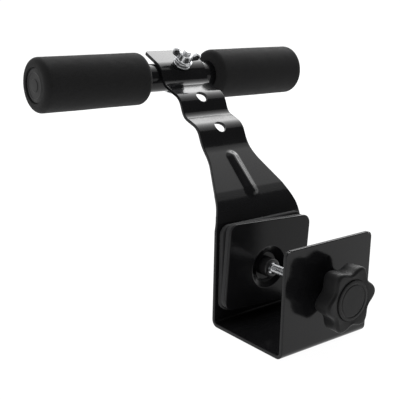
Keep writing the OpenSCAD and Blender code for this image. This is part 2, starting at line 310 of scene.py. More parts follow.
def shader(name):
    mat = bpy.data.materials.new(name)
    mat.use_nodes = True
    tree = mat.node_tree
    return mat, tree, tree.nodes["Principled BSDF"], tree.nodes.new("ShaderNodeTexCoord").outputs["Object"]


def noise_node(tree, coords, scale, detail=3.0, rough=0.5):
    node = tree.nodes.new("ShaderNodeTexNoise")
    node.inputs["Scale"].default_value = scale
    node.inputs["Detail"].default_value = detail
    node.inputs["Roughness"].default_value = rough
    tree.links.new(coords, node.inputs["Vector"])
    return node.outputs["Fac"]


def spread(tree, value, low_in, high_in, low_out, high_out, smooth=False):
    node = tree.nodes.new("ShaderNodeMapRange")
    if smooth:
        node.interpolation_type = "SMOOTHSTEP"
    node.inputs["From Min"].default_value = low_in
    node.inputs["From Max"].default_value = high_in
    node.inputs["To Min"].default_value = low_out
    node.inputs["To Max"].default_value = high_out
    tree.links.new(value, node.inputs["Value"])
    return node.outputs["Result"]


def blend_colours(tree, factor, first, second):
    node = tree.nodes.new("ShaderNodeMix")
    node.data_type = "RGBA"
    tree.links.new(factor, node.inputs["Factor"])
    for socket, colour in ((node.inputs["A"], first), (node.inputs["B"], second)):
        if isinstance(colour, (tuple, list)):
            socket.default_value = (*colour, 1)
        else:
            tree.links.new(colour, socket)
    return node.outputs["Result"]


def bump(tree, height, distance, strength=1.0, normal=None):
    node = tree.nodes.new("ShaderNodeBump")
    node.inputs["Distance"].default_value = distance
    node.inputs["Strength"].default_value = strength
    tree.links.new(height, node.inputs["Height"])
    if normal is not None:
        tree.links.new(normal, node.inputs["Normal"])
    return node.outputs["Normal"]


def edge_wear(tree, radius, low_cos=0.9, high_cos=0.99):
    """1 on worn edges and 0 on flats, from how far a rounded normal leans away from the true one."""
    soft = tree.nodes.new("ShaderNodeBevel")
    soft.samples = 4
    soft.inputs["Radius"].default_value = radius
    true = tree.nodes.new("ShaderNodeNewGeometry")
    dot = tree.nodes.new("ShaderNodeVectorMath")
    dot.operation = "DOT_PRODUCT"
    tree.links.new(soft.outputs["Normal"], dot.inputs[0])
    tree.links.new(true.outputs["Normal"], dot.inputs[1])
    return spread(tree, dot.outputs["Value"], low_cos, high_cos, 1.0, 0.0)


def painted_steel(name, colour, roughness, specular, peel):
    """Black enamel: a faint orange peel, dust that dulls it in patches, and edges rubbed a little lighter."""
    mat, tree, bsdf, coords = shader(name)
    patches = noise_node(tree, coords, 38, 5, 0.6)
    lighter = [c * 1.8 + 0.002 for c in colour]
    base = blend_colours(tree, patches, tuple(colour), tuple(lighter))
    worn = blend_colours(tree, edge_wear(tree, 0.0006), base, (0.035, 0.035, 0.036))
    tree.links.new(worn, bsdf.inputs["Base Color"])
    dust = noise_node(tree, coords, 210, 6, 0.65)
    tree.links.new(spread(tree, dust, 0.35, 0.75, roughness, roughness * 1.7), bsdf.inputs["Roughness"])
    skin_height = noise_node(tree, coords, 620, 2, 0.4)
    tree.links.new(bump(tree, skin_height, peel), bsdf.inputs["Normal"])
    bsdf.inputs["Specular IOR Level"].default_value = specular
    return mat


def zinc_plate(name, colour, roughness):
    """Bright zinc: slight blotches, fine turning marks and a soft grain."""
    mat, tree, bsdf, coords = shader(name)
    blotch = noise_node(tree, coords, 320, 4, 0.6)
    darker = tuple(c * 0.62 for c in colour)
    tree.links.new(blend_colours(tree, spread(tree, blotch, 0.3, 0.7, 0, 1), darker, colour),
                   bsdf.inputs["Base Color"])
    grain = noise_node(tree, coords, 1500, 3, 0.6)
    tree.links.new(spread(tree, grain, 0.3, 0.7, roughness * 0.7, roughness * 1.5), bsdf.inputs["Roughness"])
    tree.links.new(bump(tree, grain, 0.00004), bsdf.inputs["Normal"])
    bsdf.inputs["Metallic"].default_value = 1.0
    return mat


def moulded_plastic(name, colour, roughness, grain_size, grain_height):
    """Black moulded plastic: a fine spark-eroded grain, flow marks and edges polished by hands."""
    mat, tree, bsdf, coords = shader(name)
    flow = noise_node(tree, coords, 55, 3, 0.5)
    second = tuple(c * 1.5 + 0.003 for c in colour)
    base = blend_colours(tree, flow, colour, second)
    polished = tuple(c * 2.2 + 0.01 for c in colour)
    rubbed = blend_colours(tree, edge_wear(tree, 0.0012, 0.86, 0.985), base, polished)
    tree.links.new(rubbed, bsdf.inputs["Base Color"])
    tree.links.new(spread(tree, flow, 0.3, 0.7, roughness * 0.85, roughness * 1.15), bsdf.inputs["Roughness"])
    grain = noise_node(tree, coords, grain_size, 2, 0.5)
    tree.links.new(bump(tree, grain, grain_height), bsdf.inputs["Normal"])
    bsdf.inputs["Specular IOR Level"].default_value = 0.16
    return mat


def soft_rubber(name, colour, cell_size, cell_depth, sheen):
    """Closed-cell foam: a skin of tiny open pores over a soft uneven surface, with a dusty sheen and painted
    shade darkening the pores.
    """
    mat, tree, bsdf, coords = shader(name)
    mottle = noise_node(tree, coords, 90, 4, 0.6)
    base = blend_colours(tree, mottle, tuple(c * 0.75 for c in colour), tuple(c * 1.25 for c in colour))
    cells = tree.nodes.new("ShaderNodeTexVoronoi")
    cells.inputs["Scale"].default_value = cell_size
    tree.links.new(coords, cells.inputs["Vector"])
    pores = spread(tree, cells.outputs["Distance"], 0.0, 0.45, 0.0, 1.0)
    # Painted shade: each pore's centre is coloured darker, standing in for the shade that falls in the pits.
    pores_painted_shade = blend_colours(tree, pores, tuple(c * 0.45 for c in colour), base)
    tree.links.new(pores_painted_shade, bsdf.inputs["Base Color"])
    fine = bump(tree, pores, cell_depth)
    swell = noise_node(tree, coords, 130, 3, 0.5)
    tree.links.new(bump(tree, swell, 0.0006, 0.5, fine), bsdf.inputs["Normal"])
    tree.links.new(spread(tree, mottle, 0.3, 0.7, 0.82, 0.95), bsdf.inputs["Roughness"])
    bsdf.inputs["Specular IOR Level"].default_value = 0.14
    bsdf.inputs["Sheen Weight"].default_value = sheen
    bsdf.inputs["Sheen Roughness"].default_value = 0.45
    return mat


ENAMEL = painted_steel("black_enamel", (0.0045, 0.0045, 0.0050), 0.10, 0.22, 0.000012)
PLATE_ENAMEL = painted_steel("plate_enamel", (0.0050, 0.0050, 0.0055), 0.16, 0.16, 0.00002)
DARK_STEEL = painted_steel("blackened_steel", (0.012, 0.012, 0.0125), 0.28, 0.5, 0.00002)
ZINC = zinc_plate("zinc_plate", (0.80, 0.81, 0.83), 0.22)
# The spring washer's zinc is coloured darker as painted shade for the gap under the wing nut's flange; its
# higher roughness is a duller finish.
SHADED_DULL_ZINC = zinc_plate("dull_zinc_painted_shade", (0.42, 0.42, 0.43), 0.38)
KNOB_PLASTIC = moulded_plastic("knob_plastic", (0.0065, 0.0065, 0.0068), 0.46, 1900, 0.00005)
CAP_PLASTIC = moulded_plastic("cap_plastic", (0.0075, 0.0075, 0.0078), 0.44, 1500, 0.00004)
PAD_RUBBER = soft_rubber("pad_rubber", (0.030, 0.030, 0.031), 1300, 0.00006, 0.12)
FOAM = soft_rubber("foam_rubber", (0.0150, 0.0150, 0.0153), 900, 0.00012, 0.07)


# ---------------------------------------------------------------- bracket

LOW_ARM = (21.5, 49)
TOP_ARM = (45, 43.5)
RISER = (17.2, 66)
TREAD = (20.5, 20)
TOP_TREAD = (23.5, 20)
FLANGE = (26, 24.5)
CREST_BEND = 12.6
VALLEY_BEND = 10
BEND_RADII = (0, 3, 3, 35, 13, 34, CREST_BEND, VALLEY_BEND, CREST_BEND, VALLEY_BEND, CREST_BEND, 0)
EDGE = 0.7
SHOULDER_Z = 78
ARM_ROOT_Z = 89.25
ARM_ROOT_HALF = 44
KNEE_HALF = 37.25
STEP_HALF = 24.75
TAPER_STOP = 8.5
HOLE_R = 5.5
JAW_HOLE_R = 4.5
FRONT_JAW_Z = 83
JAW_CORNER = 5
FLANGE_CORNER = 2.5
BEAD_HALF = 7.4
BEAD_HEIGHT = 3.4
BEAD_TAPER = 0.35
BEAD_SPAN = (-3, 32)
ACROSS_COUNT = 84
JAW_PACE, ARM_PACE, BEND_PACE = 3.0, 0.8, 0.7


def bracket_corners():
    """The corners of the inner and upper face in the side view, from the front jaw to the top flange."""
    corners = [Vector((MOUTH_FRONT, FRONT_JAW_Z)), Vector((MOUTH_FRONT, 0)), Vector((MOUTH_BACK, 0)),
               Vector((MOUTH_BACK, ARM_ROOT_Z))]
    for length, slope in (LOW_ARM, TOP_ARM, RISER, TREAD, RISER, TOP_TREAD, RISER, FLANGE):
        corners.append(corners[-1] + polar(length, slope))
    return corners


CORNERS = bracket_corners()
KNEE, ARM_END, LOW_CREST, MID_CREST = (CORNERS[i] for i in (4, 5, 6, 8))


def left_of(d):
    return Vector((-d.y, d.x))


def sheet_rows():
    """(point, left normal, distance) rows along the bracket's face, close together in the bends."""
    count = len(CORNERS)
    headings = [(CORNERS[i + 1] - CORNERS[i]).normalized() for i in range(count - 1)]
    turns = [0.0] * count
    reach = [0.0] * count
    radius = [0.0] * count
    for i in range(1, count - 1):
        turns[i] = headings[i - 1].angle_signed(headings[i]) * -1
        radius[i] = BEND_RADII[i] + (STEEL if turns[i] < 0 else 0)
        reach[i] = radius[i] * math.tan(abs(turns[i]) / 2)
    rows = []
    travelled = 0.0
    for i, heading in enumerate(headings):
        start = CORNERS[i] + heading * reach[i]
        end = CORNERS[i + 1] - heading * reach[i + 1]
        length = (end - start).length
        pace = JAW_PACE if i < 3 else ARM_PACE
        steps = max(2, round(length / pace))
        stops = [length * k / steps for k in range(steps + 1)]
        if i == 0:
            stops = sorted(set([JAW_CORNER * (1 - math.cos(math.pi / 2 * k / 8)) for k in range(9)]
                               + [s for s in stops if s > JAW_CORNER + 1]))
        if i == len(headings) - 1:
            tail = [length - FLANGE_CORNER * (1 - math.cos(math.pi / 2 * k / 6)) for k in range(7)]
            stops = sorted(set([s for s in stops if s < length - FLANGE_CORNER - 0.4] + tail))
        for s in stops:
            rows.append((start + heading * s, left_of(heading), travelled + s))
        travelled += length
        if i + 1 < count - 1:
            side = math.copysign(1, turns[i + 1])
            centre = end + left_of(heading) * side * radius[i + 1]
            bends = max(12, round(abs(turns[i + 1]) * radius[i + 1] / BEND_PACE))
            for k in range(1, bends):
                angle = turns[i + 1] * k / bends
                normal = left_of(heading).copy()
                normal.rotate(Matrix.Rotation(angle, 2))
                rows.append((centre - normal * side * radius[i + 1], normal,
                             travelled + abs(angle) * radius[i + 1]))
            travelled += abs(turns[i + 1]) * radius[i + 1]
    return rows


def arm_half_width():
    """Half width by height: straight jaw, rounded shoulder, tapering arm and parallel strip."""
    sides = [(JAW_HALF, -10), (JAW_HALF, SHOULDER_Z), (ARM_ROOT_HALF, ARM_ROOT_Z), (KNEE_HALF, KNEE.y),
             (STEP_HALF, ARM_END.y - TAPER_STOP), (STEP_HALF, 400)]
    line = fillet(sides, [0, 12, 0, 0, 24, 0], 10, closed=False)

    def half(z):
        for a, b in zip(line, line[1:]):
            if a.y <= z <= b.y:
                return a.x + (b.x - a.x) * (z - a.y) / (b.y - a.y)
        return STEP_HALF

    return half


def bead_lift(x, s, knee_s):
    """Height of the pressed rib at x across the arm and s along it."""
    along = s - knee_s
    beyond = max(0.0, BEAD_SPAN[0] - along, along - BEAD_SPAN[1])
    d = math.hypot(x, beyond) / BEAD_HALF
    if d >= 1:
        return 0.0
    t = 1 - d
    taper = 1 - BEAD_TAPER * min(1, max(0, along / BEAD_SPAN[1]))
    return BEAD_HEIGHT * taper * t * t * (3 - 2 * t)


def bracket_sheet():
    """The bent plate as sections across the sheet, from the front jaw's top to the flange's end."""
    rows = sheet_rows()
    half_at = arm_half_width()
    total = rows[-1][2]
    knee_s = min(rows, key=lambda row: (row[0] - KNEE).length)[2]
    rings = []
    for p, normal, s in rows:
        if p.x < MOUTH_BACK - 1 and s < total / 2:
            half = JAW_HALF
        else:
            half = half_at(p.y)
        if s < JAW_CORNER:
            half -= JAW_CORNER - math.sqrt(max(0, JAW_CORNER ** 2 - (JAW_CORNER - s) ** 2))
        if total - s < FLANGE_CORNER:
            gap = FLANGE_CORNER - (total - s)
            half -= FLANGE_CORNER - math.sqrt(max(0, FLANGE_CORNER ** 2 - gap ** 2))
        rings.append(section(p, normal, half, 0, ACROSS_COUNT, lambda x, s=s: bead_lift(x, s, knee_s)))
    ends = []
    for (p, normal, s), out, corner in ((rows[0], Vector((0, 1)), JAW_CORNER),
                                        (rows[-1], polar(1, FLANGE[1]), FLANGE_CORNER)):
        half = (JAW_HALF if corner == JAW_CORNER else STEP_HALF) - corner
        side = []
        for k in range(5):
            a = math.pi / 2 * k / 4
            inset = EDGE * (1 - math.cos(a))
            side.append(section(p + out * (EDGE * (math.sin(a) - 1)), normal, half + EDGE - inset, inset,
                                ACROSS_COUNT, lambda x: 0))
        ends.append(side)
    rings = list(reversed(ends[0])) + rings[3:-2] + ends[1]
    bm = bmesh.new()
    skin(bm, rings, close=False, cap_start=True, cap_end=True)
    return bm


def section(p, normal, half, inset, count, lift):
    """A rounded rectangle across the sheet: x to each side, and down from the face through the steel."""
    edge = max(EDGE - inset, 0.05)
    top, bottom = -inset, inset - STEEL
    reach = half - edge
    points = []
    for k in range(count + 1):
        x = reach * (2 * k / count - 1)
        points.append((x, top + lift(x)))
    for k in range(1, 5):
        a = math.pi / 2 * k / 4
        points.append((reach + edge * math.sin(a), top - edge + edge * math.cos(a)))
    for k in range(4):
        a = math.pi / 2 * k / 4
        points.append((reach + edge * math.cos(a), bottom + edge - edge * math.sin(a)))
    for k in range(count + 1):
        x = reach * (1 - 2 * k / count)
        points.append((x, bottom + lift(x)))
    for k in range(1, 5):
        a = math.pi / 2 * k / 4
        points.append((-reach - edge * math.sin(a), bottom + edge - edge * math.cos(a)))
    for k in range(4):
        a = math.pi / 2 * k / 4
        points.append((-reach - edge * math.cos(a), top - edge + edge * math.sin(a)))
    return [Vector((x, p.x + normal.x * n, p.y + normal.y * n)) for x, n in points]


def drill(place, radius, length):
    """A round cutter about the Z axis of its place."""
    bm = bmesh.new()
    lathe(bm, [(0, -length), (radius, -length), (radius, length), (0, length)], 64, close=False)
    bm.transform(Matrix.Scale(MM, 4) @ place)
    bmesh.ops.recalc_face_normals(bm, faces=bm.faces)
    mesh = bpy.data.meshes.new("drill")
    bm.to_mesh(mesh)
    bm.free()
    obj = bpy.data.objects.new("drill", mesh)
    bpy.context.scene.collection.objects.link(obj)
    return obj


def make_bracket():
    obj = piece(bracket_sheet(), "bent_bracket", "bracket", "frame", ENAMEL, sharp=60)
    holes = []
    for crest in (LOW_CREST, MID_CREST):
        axis = left_of(polar(1, (RISER[1] + TREAD[1]) / 2))
        holes.append(drill(frame_matrix((0, crest.x, crest.y), (0, axis.x, axis.y), RIGHT), HOLE_R, 9))
    holes.append(drill(on_bolt(CREST_BEND), HOLE_R, 9))
    holes.append(drill(frame_matrix((0, MOUTH_FRONT - STEEL / 2, SCREW.z), BACK, RIGHT), JAW_HOLE_R, 6))
    settings = {"operation": "DIFFERENCE", "solver": "EXACT"}
    modified(obj, *[("BOOLEAN", {"object": hole, **settings}) for hole in holes])
    for hole in holes:
        bpy.data.objects.remove(hole)
    obj.data.set_sharp_from_angle(angle=math.radians(35))
    weight_normals(obj)


# ---------------------------------------------------------------- clamp

PLATE_W, PLATE_H, PLATE_RISE, PLATE_CORNER = 89, 72, 4.4, 8
PLATE_T, PLATE_EDGE = 2.5, 0.9
PAD_EDGE, PAD_CORNER, PAD_INSET, PAD_HOLE_R = 1.1, 8, 0.5, 20.5
PLATE_ROLL = math.radians(3.3)
PLATE_FRONT = low("clamp_plate").y
DISH_R, DISH_FLOOR_R, DISH_DEPTH = 18, 11.5, 4
SCREW_R, PITCH, THREAD_DEPTH = 3.95, 1.25, 0.62
HEAD_AF, HEAD_T = 13, 5.5


def on_screw(y):
    return frame_matrix((0, y, SCREW.z), BACK, RIGHT)


def make_clamp_nut():
    bm = bmesh.new()
    lo, hi = low("clamp_nut"), high("clamp_nut")
    hexagon(bm, hi.z - lo.z, 0, hi.y - lo.y, 0.9, bore=4.0)
    place = on_screw(lo.y)
    piece(bm, "clamp_nut_welded", "clamp_nut", "frame", DARK_STEEL, place, sharp=28)
    make_nut_weld(place)


def make_nut_weld(place):
    """The rippled bead that joins the nut to the front jaw."""
    turns, around = 120, 10
    weld_r, bead_r = 7.2, 0.9
    rings = []
    for k in range(turns):
        a = 2 * math.pi * k / turns
        ripple = 0.12 * math.sin(a * 26)
        middle_r = weld_r + ripple + 0.2 * noise.noise(Vector((math.cos(a), math.sin(a), 0)) * 2)
        ring = []
        for j in range(around):
            b = 2 * math.pi * j / around
            radius = middle_r + bead_r * math.cos(b)
            ring.append(Vector((radius * math.cos(a), radius * math.sin(a), bead_r * math.sin(b))))
        rings.append(ring)
    bm = bmesh.new()
    skin(bm, rings)
    piece(bm, "nut_weld", None, "frame", DARK_STEEL, place, sharp=80)


def rounded_edge(edge, z_high, z_low, steps=5):
    """Stations that round a plate's rim, from its high face over to its low one."""
    quarter = [math.pi / 2 * k / steps for k in range(steps + 1)]
    over = [(edge * (1 - math.sin(a)), None, z_high - edge + edge * math.cos(a)) for a in quarter]
    under = [(edge * (1 - math.cos(a)), None, z_low + edge - edge * math.sin(a)) for a in quarter]
    return over + under


def rolled(place):
    """A place on the pressure plate, which has turned a little about the screw."""
    turn = Matrix.Translation(SCREW) @ Matrix.Rotation(PLATE_ROLL, 4, "Y") @ Matrix.Translation(-SCREW)
    return turn @ place


def pad_stations(back, hole):
    """Stations over a die-cut pad: the back face, the softly rounded rim and the front face."""
    spread_r = (hole + 0.8 if hole else 1) + 0.01
    behind = [(part, spread_r, back) for part in (0.3, 0.6, 0.94)]
    ahead = [(part, spread_r, 0) for part in (0.94, 0.6, 0.3)]
    return behind, rounded_edge(PAD_EDGE, back, 0), ahead


def make_pad(name, node, body, outline, place, hole=0):
    """A die-cut pad with softly rounded rims and, round a dish, a hole with broken edges."""
    back = high(node).y - low(node).y
    hub = Vector((0, -PLATE_RISE)) if hole else Vector((0, 0))
    behind, rim, ahead = pad_stations(back, hole)
    outline = [Vector((p.x, -p.y)) for p in reversed(outline)]
    bm = bmesh.new()
    if hole:
        wall = [(None, hole + 0.8, 0), (None, hole + 0.25, 0.25), (None, hole, 0.8),
                (None, hole, back - 0.8), (None, hole + 0.25, back - 0.25), (None, hole + 0.8, back)]
        skin(bm, plate_rings(outline, rim + ahead + wall + behind, hub))
    else:
        skin(bm, plate_rings(outline, behind + rim + ahead, hub), close=False, cap_start=True, cap_end=True)
    obj = piece(bm, name, node, body, PAD_RUBBER, place, sharp=50, weighted=True)


def make_jaw_pad():
    lo, hi = low("jaw_pad"), high("jaw_pad")
    outline = rounded_rectangle(hi.x - lo.x, hi.z - lo.z, PAD_CORNER)
    place = frame_matrix((0, lo.y, (lo.z + hi.z) / 2), BACK, RIGHT)
    make_pad("jaw_pad_rubber", "jaw_pad", "frame", outline, place)


def make_plate_pad():
    outline = rounded_rectangle(PLATE_W - 2 * PAD_INSET, PLATE_H - 2 * PAD_INSET, PLATE_CORNER)
    place = rolled(frame_matrix((0, low("plate_pad").y, SCREW.z + PLATE_RISE), BACK, RIGHT))
    make_pad("plate_pad_rubber", "plate_pad", "pressure_plate", outline, place, PAD_HOLE_R)


def make_clamp_plate():
    """The pressed plate: rounded rim, dish with soft shoulders, and a matching back."""
    outline = rounded_rectangle(PLATE_W, PLATE_H, PLATE_CORNER)
    rim_r, centre_r, soft = DISH_R + 5, 0.5, 2.2
    floor, back_floor = DISH_DEPTH, DISH_DEPTH + PLATE_T
    dish = fillet([(rim_r, 0), (DISH_R, 0), (DISH_FLOOR_R, floor), (centre_r, floor)],
                  [0, soft, soft, 0], 8, False)
    back = fillet([(centre_r, back_floor), (DISH_FLOOR_R + 1.6, back_floor), (DISH_R + 1.0, PLATE_T),
                   (rim_r, PLATE_T)], [0, soft, soft, 0], 8, False)
    stations = [(None, p.x, p.y) for p in back]
    stations += [(part, rim_r, PLATE_T) for part in (0.25, 0.5, 0.75)]
    stations += rounded_edge(PLATE_EDGE, PLATE_T, 0)
    stations += [(part, rim_r, 0) for part in (0.75, 0.5, 0.25)]
    stations += [(None, p.x, p.y) for p in dish]
    bm = bmesh.new()
    rings = plate_rings(outline, stations, Vector((0, -PLATE_RISE)))
    skin(bm, rings, close=False, cap_start=True, cap_end=True)
    place = rolled(frame_matrix((0, PLATE_FRONT, SCREW.z + PLATE_RISE), BACK, RIGHT))
    flip = Matrix.Scale(-1, 4, Vector((0, 1, 0)))
    piece(bm, "pressure_plate_pressed", "clamp_plate", "pressure_plate", PLATE_ENAMEL, place @ flip,
          sharp=50, weighted=True)


def make_cup():
    """The turned cup in the dish, which holds the end of the screw."""
    lo, hi = low("swivel_cup"), high("swivel_cup")
    length = hi.y - lo.y
    outer, bore, centre_r = 8.0, 4.6, 0.4
    floor = length - 1.5
    points = [(bore, 0), (outer, 0), (outer, length), (centre_r, length), (centre_r, floor), (bore, floor)]
    bm = bmesh.new()
    lathe(bm, fillet(points, [0.5, 1.6, 0.3, 0, 0, 0.2], 6))
    piece(bm, "swivel_cup_turned", "swivel_cup", "pressure_plate", DARK_STEEL, on_screw(lo.y), sharp=40)


def make_ring():
    lo, hi = low("swivel_ring"), high("swivel_ring")
    inner, outer, thick = 3.05, 6.0, hi.y - lo.y
    bm = bmesh.new()
    lathe(bm, fillet([(inner, 0), (outer, 0), (outer, thick), (inner, thick)], [0.2] * 4, 4))
    piece(bm, "swivel_snap_ring", "swivel_ring", "swivel", ZINC, on_screw(lo.y), sharp=50)


def make_screw():
    """The spindle: hexagon head, thread, a turned neck for the snap ring and a button in the cup."""
    lo, hi = low("clamp_screw"), high("clamp_screw")
    neck = low("swivel_cup").y - 0.6 - lo.y
    button = low("swivel_ring").y + 1.2 - lo.y
    neck_r, button_r, length = 3.0, 4.5, hi.y - lo.y
    bm = bmesh.new()
    hexagon(bm, HEAD_AF, 0, HEAD_T, 0.8)
    thread(bm, SCREW_R, PITCH, THREAD_DEPTH, HEAD_T - 0.5, neck)
    points = [(0, neck - 0.5), (neck_r, neck - 0.5), (neck_r, button), (button_r, button), (button_r, length),
              (0, length)]
    lathe(bm, fillet(points, [0, 0.2, 0, 0.4, 0.8, 0], 5, False), 64, close=False)
    piece(bm, "clamp_screw_threaded", "clamp_screw", "screw", ZINC, on_screw(lo.y), sharp=38)


KNOB_R, KNOB_WAVE, KNOB_LOBES, KNOB_PHASE = 26.5, 2.6, 6, 5.5
KNOB_POINTS = 240
COVER_R = 15.9


def lobed(inset, z):
    """The knob's outline moved in by inset: each point goes square to the lobed edge."""
    ring = []
    for k in range(KNOB_POINTS):
        angle = 360 * k / KNOB_POINTS
        phase = math.radians(KNOB_LOBES * (angle - KNOB_PHASE))
        slope = KNOB_WAVE * KNOB_LOBES * math.sin(phase) / KNOB_R
        out = polar(1, angle) + left_of(polar(1, angle)) * slope
        point = polar(KNOB_R - KNOB_WAVE + KNOB_WAVE * math.cos(phase), angle) - out.normalized() * inset
        ring.append(Vector((point.x, point.y, z)))
    return ring


def knob_circles(stations):
    return [[Vector((*polar(radius, 360 * k / KNOB_POINTS), z)) for k in range(KNOB_POINTS)]
            for radius, z in stations]


def make_knob():
    """Six soft lobes with rounded rims, a shallow step on the face and a hub behind."""
    lo, hi = low("star_knob"), high("star_knob")
    depth, hub_r, length = 15.0, 10.0, hi.y - lo.y
    front_edge, back_edge, draft = 2.6, 1.6, 0.12
    socket_r, bolt_r = 7.6, 4.0
    rings = knob_circles([(16.0, 3.0), (16.0, 1.2), (16.15, 0.75), (16.6, 0.55), (17.3, 0.5), (18.2, 0.35)])
    for k in range(9):
        a = math.pi / 2 * k / 8
        rings.append(lobed(front_edge * (1 - math.sin(a)), front_edge * (1 - math.cos(a))))
    for k in range(1, 4):
        rings.append(lobed(draft * k, front_edge + (depth - front_edge - back_edge) * k / 4))
    for k in range(6):
        a = math.pi / 2 * k / 5
        rings.append(lobed(0.5 + back_edge * (1 - math.cos(a)), depth - back_edge + back_edge * math.sin(a)))
    hub = [(hub_r + 2.2, depth), (hub_r + 0.9, depth + 0.3), (hub_r + 0.2, depth + 1.1), (hub_r, depth + 2.4),
           (hub_r, length - 0.8), (hub_r - 0.8, length)]
    bore = [(bolt_r + 0.2, length), (bolt_r, length - 0.3), (bolt_r, 12), (socket_r, 8.6), (socket_r, 3.0)]
    bm = bmesh.new()
    skin(bm, rings + knob_circles(hub + bore))
    mirror = Matrix.Scale(-1, 4, Vector((0, 1, 0)))
    piece(bm, "star_knob_moulded", "star_knob", "screw", KNOB_PLASTIC, on_screw(lo.y) @ mirror, sharp=45)


def make_cover():
    """The pressed-in disc, with a shallow groove round its face."""
    lo, hi = low("knob_cover"), high("knob_cover")
    length, r = hi.y - lo.y, COVER_R
    points = [(0, 0.35), (r - 4.2, 0.15), (r - 3.2, 0.6), (r - 2.2, 0.1), (r, 0.2), (r, length), (0, length)]
    bm = bmesh.new()
    lathe(bm, fillet(points, [0, 0.6, 0.4, 0.6, 0.7, 0.2, 0], 6, False), close=False)
    piece(bm, "knob_cover_disc", "knob_cover", "screw", CAP_PLASTIC, on_screw(lo.y), sharp=50)


# ---------------------------------------------------------------- crossbar

TUBE_CENTRE = Vector((0, TUBE.y, TUBE.z))
TUBE_R, TUBE_BORE_R = 12.5, 11.0
FOAM_EDGE, FOAM_STEP = 5.5, 1.5
CAP_R, CAP_SEAT_R, CAP_RECESS = 14.5, 14.7, 3.0
NECK_HALF = 4
WING_ANGLE = -23


def along_bar(side, x):
    return frame_matrix((side * x, TUBE.y, TUBE.z), RIGHT * side, UP)


def on_bolt(height):
    return frame_matrix(TUBE_CENTRE + BOLT_AXIS * height, BOLT_AXIS, RIGHT)


def bolt_span(node):
    """How far along the bolt's axis a node lies from the tube's centre."""
    heights = [(v.co / MM - TUBE_CENTRE).dot(BOLT_AXIS) for v in frame["nodes"][node].data.vertices]
    return min(heights), max(heights)


def make_tube():
    length = high("crossbar_tube").x * 2
    points = [(TUBE_BORE_R, 0), (TUBE_R, 0), (TUBE_R, length), (TUBE_BORE_R, length)]
    bm = bmesh.new()
    lathe(bm, fillet(points, [0.2, 0.4, 0.4, 0.2], 4), 128)
    piece(bm, "crossbar_tube_painted", "crossbar_tube", "frame", ENAMEL, along_bar(1, -length / 2), sharp=50)


def roughen_foam(bm, side):
    """Moves the sleeve's skin in and out by a tenth of a millimetre or so, as cut foam is uneven."""
    for v in bm.verts:
        out = Vector((0, v.co.y - TUBE.y, v.co.z - TUBE.z))
        if out.length > 16:
            wave = noise.noise(v.co * 0.045 + Vector((side * 7, 0, 0))) * 0.14
            wave += noise.noise(v.co * 0.22) * 0.05
            v.co += out.normalized() * (wave - 0.1)


def make_foam(side, node):
    """A sleeve of closed-cell foam: soft rims, a slightly uneven skin and a recess for the end cap."""
    lo, hi = low(node), high(node)
    length, outer, seat = hi.x - lo.x, (hi.z - lo.z) / 2, CAP_SEAT_R
    floor = length - CAP_RECESS
    points = [(TUBE_R, 0), (outer, 0), (outer, length), (seat, length), (seat, floor), (TUBE_R, floor)]
    outline = fillet(points, [0.6, FOAM_EDGE, FOAM_EDGE, 0.5, 0.2, 0], 12)
    profile = []
    for i, p in enumerate(outline):
        following = outline[(i + 1) % len(outline)]
        gap = (following - p).length
        profile.append(p)
        if gap > 4 * FOAM_STEP:
            steps = int(gap / FOAM_STEP)
            profile += [p.lerp(following, k / steps) for k in range(1, steps)]
    bm = bmesh.new()
    lathe(bm, profile, 160)
    bm.transform(along_bar(side, min(abs(lo.x), abs(hi.x))))
    roughen_foam(bm, side)
    obj = piece(bm, node + "_sleeve", node, "frame", FOAM, sharp=60)


def make_end_cap(side, node):
    """A moulded cap: a raised ring on its face, a flange in the foam and a hollow plug in the tube."""
    flange, plug, plug_r, plug_bore_r = 2.6, 14.0, 10.95, 9.0
    crown = 0.35
    points = [(0, crown), (5.2, 0.3), (5.9, -0.15), (10.4, -0.15), (11.0, 0.2), (CAP_R, -0.5),
              (CAP_R, -flange), (plug_r, -flange), (plug_r, -plug), (plug_bore_r, -plug),
              (plug_bore_r, -flange), (0, -flange)]
    profile = fillet(points, [0, 0.5, 0.4, 0.4, 0.5, 0.9, 0.3, 0.2, 0.6, 0.3, 0.2, 0], 6, False)
    bm = bmesh.new()
    lathe(bm, profile, close=False)
    face = max(abs(low(node).x), abs(high(node).x)) - crown
    piece(bm, node + "_moulded", node, "frame", CAP_PLASTIC, along_bar(side, face), sharp=50)


def make_bolt():
    """A carriage bolt: mushroom head under the tube, square neck, and thread up through the wing nut."""
    head_r, head_h = 9.0, 4.2
    seat, end = -TUBE_R, bolt_span("bar_bolt")[1]
    bm = bmesh.new()
    dome = []
    for k in range(15):
        a = math.pi / 2 * k / 14
        dome.append((head_r * math.sin(a), seat - head_h * math.cos(a)))
    lathe(bm, dome + [(head_r - 0.3, seat), (0, seat)], 72, close=False)
    half = NECK_HALF
    corners = fillet([(-half, -half), (half, -half), (half, half), (-half, half)], [0.5] * 4, 4)
    neck = [[Vector((p.x, p.y, z)) for p in corners] for z in (seat - 0.4, seat + 3.4)]
    skin(bm, neck, close=False, cap_start=True, cap_end=True)
    lathe(bm, [(0, seat + 3), (3.9, seat + 3), (3.9, 10), (0, 10)], 64, close=False)
    thread(bm, SCREW_R, PITCH, THREAD_DEPTH, 9.5, end - 0.6, 56)
    tip = fillet([(3.35, end - 0.8), (3.35, end - 0.5), (2.8, end), (0, end)], [0, 0.2, 0.2, 0], 4, False)
    lathe(bm, tip, 56, close=False)
    piece(bm, "bar_bolt_threaded", "bar_bolt", "frame", ZINC, on_bolt(0), sharp=40)


def make_washer():
    base, top = bolt_span("bar_washer")
    inner, outer, thick = 4.05, 8, top - base
    points = [(inner, 0), (outer, 0), (outer, thick), (inner, thick)]
    bm = bmesh.new()
    lathe(bm, fillet(points, [0.2, 0.35, 0.6, 0.3], 5), 96)
    piece(bm, "bar_washer_zinc", "bar_washer", "washer", ZINC, on_bolt(base), sharp=50)


